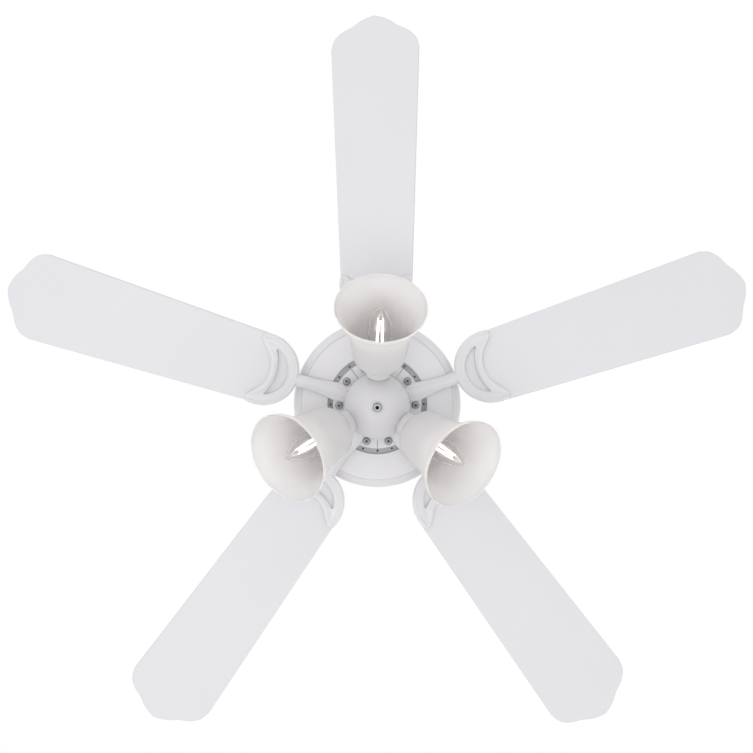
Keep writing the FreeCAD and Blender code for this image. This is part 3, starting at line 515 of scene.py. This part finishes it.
for node in ("motor_shaft", "bearings", "rotor_ring"):
    dress(node, bare_steel)
for node in ("rotor_top", "rotor_bottom"):
    dress(node, cast_bell)
# Painted shade: the walls and floors of the balancing holes take the dark finish.
paint_hollow_shade(nodes["rotor_bottom"], in_balance_hole)
dress("rotor_bolts", zinc)
dress("stator_core", laminations)
dress("stator_windings", copper)

# ---------------------------------------------------------------------------------------
# Blade irons: five white die castings screwed to the rotor face. Each has a sector base, a
# rounded arm and a crescent with a raised rim, and every edge is softened by its draught.
# ---------------------------------------------------------------------------------------

blade_count = 5
blade_pitch = math.radians(12.0)


def turn_blade(index):
    """Turns a piece made for the first blade, which points along +Y, to another blade."""
    return Matrix.Rotation(2 * math.pi * index / blade_count, 4, "Z")


def modified(mesh, *modifiers):
    """The mesh after modifiers, each given as its kind and settings."""
    holder = bpy.data.objects.new("holder", mesh)
    room.collection.objects.link(holder)
    for kind, settings in modifiers:
        modifier = holder.modifiers.new(kind, kind)
        for key, value in settings.items():
            setattr(modifier, key, value)
    view = bpy.context.evaluated_depsgraph_get()
    result = bpy.data.meshes.new_from_object(holder.evaluated_get(view))
    bpy.data.objects.remove(holder)
    return result


def softened(mesh, voxel, rounds, share):
    """A casting with soft edges: the solid, cut into small voxels and evened out."""
    return modified(mesh,
                    ("REMESH", {"mode": "VOXEL", "voxel_size": voxel, "use_smooth_shade": True}),
                    ("SMOOTH", {"factor": 0.5, "iterations": rounds}),
                    ("DECIMATE", {"ratio": share}))


rib_sides = 16
fade_power = 6
least_fade = 0.02


def ridge(shape, path, half_width, top, height):
    """A rounded rib along a flat path: an ellipse in section, fading out at its ends."""
    rings = []
    last = len(path) - 1
    for index, point in enumerate(path):
        before, after = path[max(index - 1, 0)], path[min(index + 1, last)]
        way = (Vector(after) - Vector(before)).normalized()
        fade = math.sqrt(max(1.0 - abs(2 * index / last - 1) ** fade_power, least_fade))
        ring = []
        for step in range(rib_sides):
            angle = 2 * math.pi * step / rib_sides
            out = half_width * fade * math.cos(angle)
            ring.append(shape.verts.new((point[0] - way.y * out, point[1] + way.x * out,
                                         top + height * fade * math.sin(angle))))
        rings.append(ring)
    for low, high in zip(rings, rings[1:]):
        for step in range(rib_sides):
            after = (step + 1) % rib_sides
            shape.faces.new((low[step], low[after], high[after], high[step]))
    shape.faces.new(rings[0][::-1])
    shape.faces.new(rings[-1])


half_board = 2.75 * mm
half_root = 50 * mm
moon_radius = 51 * mm
moon_thickness = 4 * mm
moon_centre = blade_low.y + half_root
moon_face = -half_board - moon_thickness
rim_radius = moon_radius - 8 * mm
rim_sweep = 98
rim_half_width = 6.5 * mm
rim_height = 1.7 * mm
bow_side = 38 * mm
bow_ends = moon_centre + 8 * mm
bow_middle = moon_centre - 14.8 * mm
bow_half_width = 4.2 * mm
bow_height = 1.4 * mm
pitched = Matrix.Translation((0.0, 0.0, blade_plane)) @ Matrix.Rotation(-blade_pitch, 4, "Y")
ribs = bmesh.new()
ridge(ribs, arc((0.0, moon_centre), rim_radius, -90 - rim_sweep, -90 + rim_sweep, steps=60),
      rim_half_width, moon_face, rim_height)
ridge(ribs, three_point_arc((-bow_side, bow_ends), (0.0, bow_middle), (bow_side, bow_ends),
                            steps=60),
      bow_half_width, moon_face, bow_height)
bmesh.ops.recalc_face_normals(ribs, faces=ribs.faces)
ribs.transform(pitched)
ribs.from_mesh(nodes["blade_iron_1"].data)
iron_solid = bpy.data.meshes.new("iron_solid")
ribs.to_mesh(iron_solid)
ribs.free()
iron_casting = softened(iron_solid, voxel=0.8 * mm, rounds=5, share=0.35)
for number in range(blade_count):
    shape = bmesh.new()
    shape.from_mesh(iron_casting)
    shape.transform(turn_blade(number))
    finished(f"iron_casting_{number + 1}", shape, enamel, "rotor",
             f"blade_iron_{number + 1}", sharp_angle=60.0)

# ---------------------------------------------------------------------------------------
# Iron screws: ten dull zinc pan-head machine screws, two in each base, with a cross recess
# and each stopped at its own angle, and the screws and washers that hold the blades.
# ---------------------------------------------------------------------------------------

screw_circle = 53 * mm
screw_spread = math.radians(19.5)
screw_low, screw_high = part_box("iron_screws")
head_radius = 5.4 * mm
head_height = 3.4 * mm
shank_radius = 2.5 * mm
recess_length = 7.2 * mm
recess_width = 1.6 * mm
recess_depth = 1.9 * mm
recess_taper = 0.35
recess_reach = 0.53 * recess_length
recess_from = 0.45 * mm
recess_to = recess_depth + 0.3 * mm
dull_zinc = coated("dull_zinc", (0.31, 0.31, 0.32), (0.41, 0.41, 0.42), roughness=0.5,
                   grain_size=1400.0, relief=0.10, metallic=1.0)


def pan_screw():
    """One screw, its head's face at zero looking down and its shank running up."""
    length = screw_high.z - screw_low.z
    profile = [(0.0, 0.0), (0.45 * head_radius, 0.06 * mm)]
    profile += three_point_arc((0.6 * head_radius, 0.16 * mm),
                               (0.93 * head_radius, 0.35 * head_height),
                               (head_radius, 0.75 * head_height), steps=8)
    profile += [(head_radius, head_height), (shank_radius, head_height),
                (shank_radius, length - 0.6 * mm), (shank_radius - 0.5 * mm, length),
                (0.0, length)]
    head = bpy.data.meshes.new("head")
    shape = lathe_shape(profile, segments=48)
    shape.to_mesh(head)
    shape.free()
    for turn in (0, 1):
        cutter = bmesh.new()
        size = (recess_length, recess_width, 2 * recess_depth)
        bmesh.ops.create_cube(cutter, size=1.0, matrix=Matrix.Diagonal((*size, 1.0)))
        for vertex in cutter.verts:
            if vertex.co.z > 0:
                vertex.co.x *= recess_taper
        cutter.transform(Matrix.Rotation(turn * math.pi / 2, 4, "Z"))
        blade = bpy.data.meshes.new("cutter")
        cutter.to_mesh(blade)
        cutter.free()
        tool = bpy.data.objects.new("cutter", blade)
        room.collection.objects.link(tool)
        head = modified(head, ("BOOLEAN", {"operation": "DIFFERENCE", "object": tool}))
        bpy.data.objects.remove(tool)
    return head


screw = pan_screw()
screws = bmesh.new()
screw_axes = []
for number in range(blade_count):
    for side in (-1, 1):
        one = screw.copy()
        turn = math.pi / 2 + side * screw_spread + 2 * math.pi * number / blade_count
        stopped_at = 0.7 + 1.9 * number + side
        twist = Matrix.Rotation(stopped_at, 4, "Z")
        screw_axes.append(Vector((screw_circle * math.cos(turn), screw_circle * math.sin(turn))))
        one.transform(Matrix.Rotation(turn, 4, "Z")
                      @ Matrix.Translation((screw_circle, 0.0, screw_low.z)) @ twist)
        screws.from_mesh(one)
heads = finished("iron_screw_heads", screws, dull_zinc, "rotor", "iron_screws",
                 sharp_angle=35.0)


def in_recess(point):
    """Above the head's face and close to one screw's axis."""
    near = min((point.xy - axis).length for axis in screw_axes)
    depth = point.z - screw_low.z
    return near < recess_reach and recess_from < depth < recess_to


# Painted shade: the faces of the cross recesses take the dark finish.
paint_hollow_shade(heads, in_recess)
dress("blade_screws", zinc)
dress("blade_washers", white_plastic)

# ---------------------------------------------------------------------------------------
# Blades: five boards of 5.5 mm fibreboard wrapped in a matt white foil, wider towards the
# end, with an ogee tip, a half-round root and an edge band a shade warmer than the faces.
# ---------------------------------------------------------------------------------------

blade_tip = blade_high.y
blade_root = blade_low.y
board = 5.5 * mm
half_width = 61.5 * mm
edge_round = 1.2 * mm
band_half = board / 2 - 0.3 * edge_round
face_inset = 0.8 * mm
ogee = ((0.0, 0.0), (2.6, 0.16), (6.6, 0.315), (10.4, 0.415), (13.8, 0.494), (16.4, 0.58),
        (19.0, 0.675), (22.2, 0.77), (26.3, 0.854), (33.0, 0.94), (45.0, 1.0))


def smooth_run(points, steps):
    """A curve through every point, its direction at each one set by its two neighbours."""
    out = []
    last = len(points) - 1
    for index in range(last):
        p0, p1 = Vector(points[max(index - 1, 0)]), Vector(points[index])
        p2, p3 = Vector(points[index + 1]), Vector(points[min(index + 2, last)])
        for step in range(steps):
            t = step / steps
            out.append((p1 * 2 + (p2 - p0) * t + (p0 * 2 - p1 * 5 + p2 * 4 - p3) * t ** 2
                        + (p1 * 3 - p0 - p2 * 3 + p3) * t ** 3) / 2)
    return out + [Vector(points[last])]


def blade_outline():
    """One half from the middle of the tip to the middle of the root, as (along, across)."""
    half = smooth_run([(blade_tip - setback * mm, share * half_width)
                       for setback, share in ogee], steps=4)
    root_centre = blade_root + half_root
    side_end = (root_centre, half_root)
    straight = 24
    start = half[-1]
    for step in range(1, straight):
        half.append(start.lerp(Vector(side_end), step / straight))
    half += arc((root_centre, 0.0), half_root, 90, 180, steps=32)
    return half


def blade_board():
    """The board along +Y about z = 0, its rim rounded all the way round."""
    shape = bmesh.new()
    half = blade_outline()
    ring = [shape.verts.new((-across, along, -board / 2)) for along, across in half]
    ring += [shape.verts.new((across, along, -board / 2)) for along, across in half[:0:-1]]
    low = shape.faces.new(ring)
    sides = bmesh.ops.extrude_face_region(shape, geom=[low])
    lifted = [item for item in sides["geom"] if isinstance(item, bmesh.types.BMVert)]
    bmesh.ops.translate(shape, verts=lifted, vec=(0.0, 0.0, board))
    bmesh.ops.recalc_face_normals(shape, faces=shape.faces)
    rim = [edge for edge in shape.edges
           if abs(edge.verts[0].co.z - edge.verts[1].co.z) < 1e-6]
    bmesh.ops.bevel(shape, geom=rim, offset=edge_round, segments=3, profile=0.5,
                    affect="EDGES", clamp_overlap=False)
    faces = [face for face in shape.faces if len(face.verts) > 20]
    bmesh.ops.inset_region(shape, faces=faces, thickness=face_inset)
    return shape


def foil():
    """Matt foil with a fine pressed grain, and a slightly darker, warmer band at the edge."""
    material, tree, shader = new_material("blade_white", (0.665, 0.66, 0.685), 0.55)
    surface = add(tree, "ShaderNodeGroup", node_tree=fine_surface)
    surface.inputs["Grain Size"].default_value = 1200.0
    surface.inputs["Drift Size"].default_value = 7.0
    edge = add(tree, "ShaderNodeAttribute", attribute_name="edge_band")
    tone = blend_colours(tree, surface.outputs["Drift"], (0.65, 0.645, 0.67), (0.68, 0.675, 0.70))
    mix = add(tree, "ShaderNodeMix", data_type="RGBA")
    mix.inputs["B"].default_value = (0.63, 0.62, 0.63, 1.0)
    tree.links.new(edge.outputs["Fac"], mix.inputs["Factor"])
    tree.links.new(tone, mix.inputs["A"])
    tree.links.new(mix.outputs["Result"], shader.inputs["Base Color"])
    rough = between(tree, surface.outputs["Grain"], 0.5, 0.6)
    tree.links.new(rough, shader.inputs["Roughness"])
    raise_surface(tree, shader, surface.outputs["Height"], 0.12, 0.15 * mm)
    return material


foil_finish = foil()
for number in range(blade_count):
    shape = blade_board()
    band = shape.verts.layers.float.new("edge_band")
    for vertex in shape.verts:
        vertex[band] = 1.0 if abs(vertex.co.z) < band_half else 0.0
    shape.transform(turn_blade(number) @ pitched)
    finished(f"blade_board_{number + 1}", shape, foil_finish, "rotor",
             f"blade_{number + 1}")

# ---------------------------------------------------------------------------------------
# Switch housing: a small white steel can under the motor that holds the capacitor and the
# reversing slide switch, with its black knob standing out of a slot.
# ---------------------------------------------------------------------------------------

dress("switch_plate", zinc)
dress("switch_housing", enamel)
for node in ("capacitor", "reverse_switch", "reverse_switch_knob"):
    dress(node, black_plastic)

# ---------------------------------------------------------------------------------------
# Light hub: a white die casting, domed, with three lobes that carry the lamps, three screws
# round its rim and a small finial at the bottom.
# ---------------------------------------------------------------------------------------

hub_low, hub_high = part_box("light_hub")
shape = bmesh.new()
shape.from_mesh(softened(nodes["light_hub"].data.copy(), voxel=0.7 * mm, rounds=5,
                         share=0.35))
# Painted shade: the hub's white casting gets a darker copy of the white enamel, for the shade on
# its downward faces.
painted_shade_cast_enamel = coated("painted_shade_cast_enamel", (0.56, 0.55, 0.565), (0.60, 0.59, 0.605), roughness=0.36,
                     grain_size=850.0, relief=0.10)
finished("light_hub_casting", shape, painted_shade_cast_enamel, "hanging_fan", "light_hub",
         sharp_angle=60.0)
dress("light_hub_screws", enamel)

finial_low, finial_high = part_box("finial")
finial_radius = finial_high.x
finial_hole = 2.4 * mm
finial_hole_depth = 12 * mm
stem_radius = 3.6 * mm
hole_top = finial_low.z + finial_hole_depth
finial_profile = rounded([(0.0, hole_top), (finial_hole, hole_top), (finial_hole, finial_low.z),
                          (finial_radius - 1.5 * mm, finial_low.z),
                          (finial_radius - 0.5 * mm, finial_low.z + 1 * mm),
                          (finial_radius, hub_low.z - 1 * mm), (finial_radius, hub_low.z),
                          (stem_radius, hub_low.z), (stem_radius, finial_high.z),
                          (0.0, finial_high.z)], 0.4 * mm)
knob = finished("finial_knob", lathe_shape(finial_profile, segments=64), dull_zinc,
                "hanging_fan", "finial", sharp_angle=30.0)


def in_finial_hole(point):
    """On the wall or the floor of the finial's blind hole."""
    inside = finial_low.z + 0.2 * mm < point.z < hole_top + 0.1 * mm
    return point.xy.length < 1.05 * finial_hole and inside


# Painted shade: the wall and floor of the finial's hole take the dark finish.
paint_hollow_shade(knob, in_finial_hole)

# ---------------------------------------------------------------------------------------
# Lamps: three stepped steel cups on the hub's lobes, each with a white lampholder, a frosted
# bell shade held by a notched ring, and a clear candle bulb with four glowing filaments.
# ---------------------------------------------------------------------------------------

lamp_count = 3
first_lamp = math.radians(92.4)
lamp_tilt = math.radians(42.0)
neck_reach = 60 * mm
neck_drop = 34 * mm


def lamp_place(index):
    """Takes a piece made along +Z from the shade's neck to one lamp's tilted axis."""
    azimuth = first_lamp + 2 * math.pi * index / lamp_count
    return (Matrix.Rotation(azimuth, 4, "Z")
            @ Matrix.Translation((neck_reach, 0.0, hub_high.z - neck_drop))
            @ Matrix.Rotation(math.pi - lamp_tilt, 4, "Y"))


def at_lamp(profile, number):
    """Turns a profile into a solid on one lamp's axis."""
    shape = lathe_shape(profile, segments=96)
    shape.transform(lamp_place(number))
    return shape


def mm_points(points):
    """Points given in millimetres, in the scene's unit."""
    return [(radius * mm, height * mm) for radius, height in points]


cup_path = rounded(mm_points([(4, -25), (16, -25), (16, -16), (18, -14.5), (18, -9),
                              (20.5, -7.5), (20.5, 0)]), 1.6 * mm, closed=False)
cup_profile = thick(cup_path, 1.4 * mm)
shade_path = smooth_run(mm_points([(17, 0), (24.5, 2.0), (31, 7.5), (34.4, 12.8), (36, 19),
                                   (37.8, 33), (39.6, 50), (42, 63), (45.6, 75), (50.5, 86),
                                   (56, 95), (58.5, 100), (60, 105)]), steps=3)
shade_neck = Vector((14.3 * mm, 0.0))
# Painted glow on the shade's outside: none below the first height along the lamp axis, full above
# the second.
painted_glow_from = 48 * mm
painted_glow_full = 92 * mm
shade_wall = 2.4 * mm
lip_wall = 1.2 * mm
bulb_path = smooth_run(mm_points([(7, 27), (7.9, 29.5), (10.4, 34), (14.2, 43), (16.3, 56),
                                  (15.8, 67), (13.5, 79), (10.2, 89), (6.8, 97), (4.2, 101.5),
                                  (2.0, 104.2), (0, 105)]), steps=4)
bulb_wall = 0.8 * mm
lip_rows = 8


def blown(path, wall):
    """The closed profile of a thin wall that ends in a point on the axis."""
    inside = []
    for index, point in enumerate(path[:-1]):
        way = (path[index + 1] - path[max(index - 1, 0)]).normalized()
        inside.append(Vector((max(point.x - way.y * wall, 0.0), point.y + way.x * wall)))
    kept = [point for point in inside if point.x > 0.3 * mm]
    return list(path) + [Vector((0.0, path[-1].y - wall))] + kept[::-1]


def bell(path, neck, wall, lip):
    """The closed profile of a shade: an even wall that thins to a fine lip at the mouth."""
    inside = []
    for index, point in enumerate(path):
        way = (path[min(index + 1, len(path) - 1)] - path[max(index - 1, 0)]).normalized()
        share = min(1.0, (len(path) - 1 - index) / lip_rows)
        depth = lip + (wall - lip) * share
        inside.append(Vector((point.x - way.y * depth, point.y + way.x * depth)))
    kept = [point for point in inside if point.x > neck.x + 1 * mm]
    return rounded([neck] + list(path) + kept[::-1] + [Vector((neck.x, neck.y + wall))],
                   wall_share * lip)


bulb_profile = blown(bulb_path, bulb_wall)
shade_profile = bell(shade_path, shade_neck, shade_wall, lip_wall)


def frosted_glass():
    """Sand-etched glass: milky, with a fine tooth that differs a little over the shade, and a
    painted warm glow on its outside near the mouth that stands in for the bulb's light through
    the glass.
    """
    material, tree, shader = new_material("frosted_glass", (0.865, 0.855, 0.86), 0.55)
    shader.inputs["Transmission Weight"].default_value = 0.45
    shader.inputs["IOR"].default_value = 1.45
    surface = add(tree, "ShaderNodeGroup", node_tree=fine_surface)
    surface.inputs["Grain Size"].default_value = 1100.0
    tone = blend_colours(tree, surface.outputs["Drift"], (0.84, 0.83, 0.835), (0.89, 0.88, 0.885))
    tree.links.new(tone, shader.inputs["Base Color"])
    rough = between(tree, surface.outputs["Grain"], 0.48, 0.62)
    tree.links.new(rough, shader.inputs["Roughness"])
    raise_surface(tree, shader, surface.outputs["Height"], 0.1, 0.1 * mm)
    # Painted light: a weak warm emission on the outside towards the mouth, for the glow of the
    # bulb through the glass.
    shader.inputs["Emission Strength"].default_value = 0.09
    lit = add(tree, "ShaderNodeAttribute", attribute_name="painted_bulb_glow")
    shine = add(tree, "ShaderNodeMix", data_type="RGBA")
    shine.inputs["A"].default_value = (0.0, 0.0, 0.0, 1.0)
    shine.inputs["B"].default_value = (1.0, 0.88, 0.82, 1.0)
    tree.links.new(lit.outputs["Fac"], shine.inputs["Factor"])
    tree.links.new(shine.outputs["Result"], shader.inputs["Emission Color"])
    return material


def shade_bell(number):
    """One shade, with a painted glow share on its outside at each place, standing in for the
    bulb's light through the glass.
    """
    shape = lathe_shape(shade_profile, segments=128)
    shape.normal_update()
    layer = shape.verts.layers.float.new("painted_bulb_glow")
    for vertex in shape.verts:
        share = min(1.0, max(0.0, (vertex.co.z - painted_glow_from) / (painted_glow_full - painted_glow_from)))
        outside = vertex.normal.xy.dot(vertex.co.xy) > 0
        vertex[layer] = share * share * (3 - 2 * share) if outside else 0.0
    shape.transform(lamp_place(number))
    return shape


def clear_glass():
    """Thin blown glass with a little waviness and a trace of grey."""
    material, tree, shader = new_material("clear_glass", (0.985, 0.985, 0.985), 0.02)
    shader.inputs["Transmission Weight"].default_value = 1.0
    shader.inputs["IOR"].default_value = 1.45
    surface = add(tree, "ShaderNodeGroup", node_tree=fine_surface)
    surface.inputs["Grain Size"].default_value = 60.0
    tone = blend_colours(tree, surface.outputs["Drift"], (0.97, 0.97, 0.975), (0.99, 0.99, 0.99))
    tree.links.new(tone, shader.inputs["Base Color"])
    rough = between(tree, surface.outputs["Grain"], 0.0, 0.04)
    tree.links.new(rough, shader.inputs["Roughness"])
    return material


def nickel_plate():
    """The plating of a bulb cap, uneven in tone and polish."""
    material, tree, shader = new_material("nickel_cap", (0.62, 0.60, 0.56), 0.25, 1.0)
    surface = add(tree, "ShaderNodeGroup", node_tree=fine_surface)
    surface.inputs["Grain Size"].default_value = 700.0
    tone = blend_colours(tree, surface.outputs["Drift"], (0.52, 0.50, 0.46), (0.68, 0.66, 0.62))
    tree.links.new(tone, shader.inputs["Base Color"])
    rough = between(tree, surface.outputs["Grain"], 0.18, 0.34)
    tree.links.new(rough, shader.inputs["Roughness"])
    return material


def glow():
    """A filament stick: phosphor gel that shines warm white, a little unevenly."""
    material, tree, shader = new_material("filament", (0.95, 0.80, 0.55), 0.5)
    shader.inputs["Emission Strength"].default_value = 3.0
    surface = add(tree, "ShaderNodeGroup", node_tree=fine_surface)
    surface.inputs["Grain Size"].default_value = 900.0
    tone = blend_colours(tree, surface.outputs["Grain"], (1.0, 0.86, 0.78), (1.0, 0.92, 0.86))
    tree.links.new(tone, shader.inputs["Emission Color"])
    return material


shade_finish = frosted_glass()
bulb_finish = clear_glass()
cap_finish = nickel_plate()
stick_finish = glow()
holder_finish = coated("filament_holder", (0.74, 0.67, 0.58), (0.80, 0.74, 0.66),
                       roughness=0.5, grain_size=700.0, relief=0.08)
for number in range(lamp_count):
    tag = number + 1
    finished(f"cup_{tag}", at_lamp(cup_profile, number), enamel, "hanging_fan",
             f"lamp_cup_{tag}")
    finished(f"shade_bell_{tag}", shade_bell(number), shade_finish,
             "hanging_fan", f"glass_shade_{tag}")
    finished(f"bulb_{tag}", at_lamp(bulb_profile, number), bulb_finish, "hanging_fan",
             f"bulb_glass_{tag}")
    dress(f"lampholder_{tag}", white_plastic)
    dress(f"bulb_base_{tag}", cap_finish)
dress("shade_rings", white_plastic)

stick_count = 4
first_stick = math.radians(45)
stick_radius = 1.5 * mm
stick_foot = 40 * mm
stick_head = 82 * mm
foot_circle = 5.0 * mm
head_circle = 3.0 * mm
wire_radius = 0.35 * mm
wire_circle = 1.2 * mm
wire_foot = stick_foot - 5 * mm
wire_head = Vector((0.0, 0.0, stick_head + 3 * mm))
mount_radius = 2.4 * mm
mount_foot = Vector((0.0, 0.0, 27 * mm))
mount_head = Vector((0.0, 0.0, stick_foot - 4 * mm))
button_radius = 2.6 * mm
button_foot = Vector((0.0, 0.0, stick_head + 1 * mm))
button_head = Vector((0.0, 0.0, stick_head + 4 * mm))


def round_bar(shape, start, end, radius, segments=16):
    """Adds a closed round bar between two points to a bmesh."""
    way = end - start
    turn = way.to_track_quat("Z", "Y").to_matrix().to_4x4()
    middle = Matrix.Translation((start + end) / 2) @ turn
    bmesh.ops.create_cone(shape, cap_ends=True, segments=segments, radius1=radius,
                          radius2=radius, depth=way.length, matrix=middle)


def around(radius, index, height):
    """The place of one stick's end on a circle round the bulb's axis."""
    angle = first_stick + 2 * math.pi * index / stick_count
    return Vector((radius * math.cos(angle), radius * math.sin(angle), height))


sticks = bmesh.new()
holders = bmesh.new()
for number in range(lamp_count):
    lit = bmesh.new()
    held = bmesh.new()
    for index in range(stick_count):
        foot = around(foot_circle, index, stick_foot)
        head = around(head_circle, index, stick_head)
        round_bar(lit, foot, head, stick_radius)
        round_bar(held, around(wire_circle, index, wire_foot), foot, wire_radius, segments=8)
        round_bar(held, head, wire_head, wire_radius, segments=8)
    round_bar(held, mount_foot, mount_head, mount_radius, segments=24)
    round_bar(held, button_foot, button_head, button_radius, segments=24)
    for made, all_of_them in ((lit, sticks), (held, holders)):
        made.transform(lamp_place(number))
        loose = bpy.data.meshes.new("one_bulb")
        made.to_mesh(loose)
        made.free()
        all_of_them.from_mesh(loose)
        bpy.data.meshes.remove(loose)
finished("filament_sticks", sticks, stick_finish, "hanging_fan",
         "bulb_filaments", sharp_angle=60.0)
finished("filament_holders", holders, holder_finish, "hanging_fan",
         "bulb_filaments", sharp_angle=60.0)
